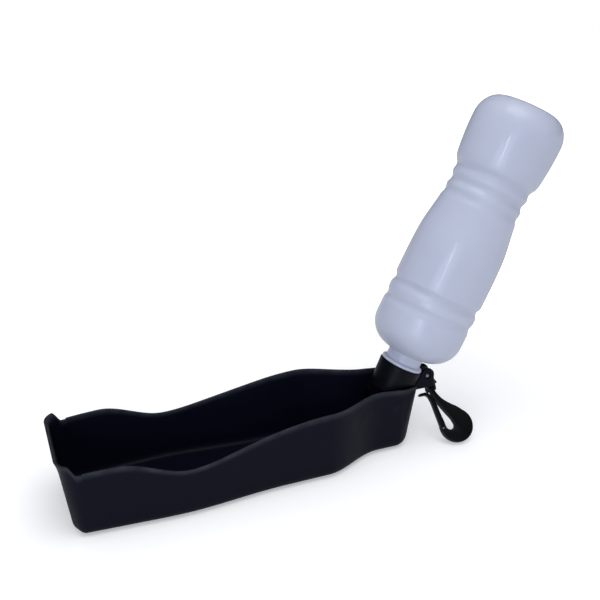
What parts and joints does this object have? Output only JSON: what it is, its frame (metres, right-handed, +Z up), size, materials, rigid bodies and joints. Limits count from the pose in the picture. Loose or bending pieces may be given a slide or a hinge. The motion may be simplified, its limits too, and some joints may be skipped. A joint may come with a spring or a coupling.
{
  "type": "dog travel water bottle",
  "caption": "Squeeze bottle hinged to the pocket of its own drinking trough, opened to pour, with a swivelling clip at the hinge end.",
  "frame": {"origin": "centre of the trough's flat underside", "axes": "+X along the trough towards the hinge end and the clip, -Y the front that the picture shows, +Z up"},
  "size_m": [0.3704, 0.0818, 0.2525],
  "materials": {
    "black_satin_plastic": "satin moulded",
    "translucent_plastic": "soft satin, blow moulded, translucent",
    "black_cap_plastic": "satin moulded",
    "black_rubber": "matt",
    "steel": "bright",
    "black_clip_plastic": "satin"
  },
  "bodies": {
    "trough": {"trough": "black_satin_plastic", "port_seal": "black_rubber", "pivot_pin_front": "black_satin_plastic", "pivot_pin_rear": "black_satin_plastic", "clip_pin": "steel"},
    "cap": {"pivot_cap": "black_cap_plastic", "cap_gasket": "black_rubber"},
    "bottle": {"bottle": "translucent_plastic"},
    "swivel": {"clip_swivel": "black_clip_plastic", "link_pin": "black_clip_plastic"},
    "hook": {"clip_hook": "black_clip_plastic"},
    "gate": {"clip_gate": "black_clip_plastic"}
  },
  "joints": [
    {"name": "bottle_fold", "type": "hinge", "parent": "trough", "child": "cap", "pos_m": [0.10795, 0, 0.036], "axis": [0, -1, 0], "range_deg": [0, 116.8]},
    {"name": "bottle_turn", "type": "hinge", "parent": "cap", "child": "bottle", "pos_m": [0.10849, 0, 0.03573], "axis": [0.4509, 0, 0.8926], "range_deg": [0, 540]},
    {"name": "clip_swing", "type": "hinge", "parent": "trough", "child": "swivel", "pos_m": [0.14116, 0, 0.0494], "axis": [0, -1, 0], "range_deg": [-15, 75]},
    {"name": "clip_lean", "type": "hinge", "parent": "swivel", "child": "hook", "pos_m": [0.14766, 0, 0.0347], "axis": [0.9728, 0, 0.2317], "range_deg": [-45, 120]},
    {"name": "gate_flex", "type": "hinge", "parent": "hook", "child": "gate", "pos_m": [0.14832, -0.01857, 0.0125], "axis": [-0.1505, -0.7604, 0.6318], "range_deg": [0, 10], "stiffness_Nm_per_rad": 0.3}
  ]
}
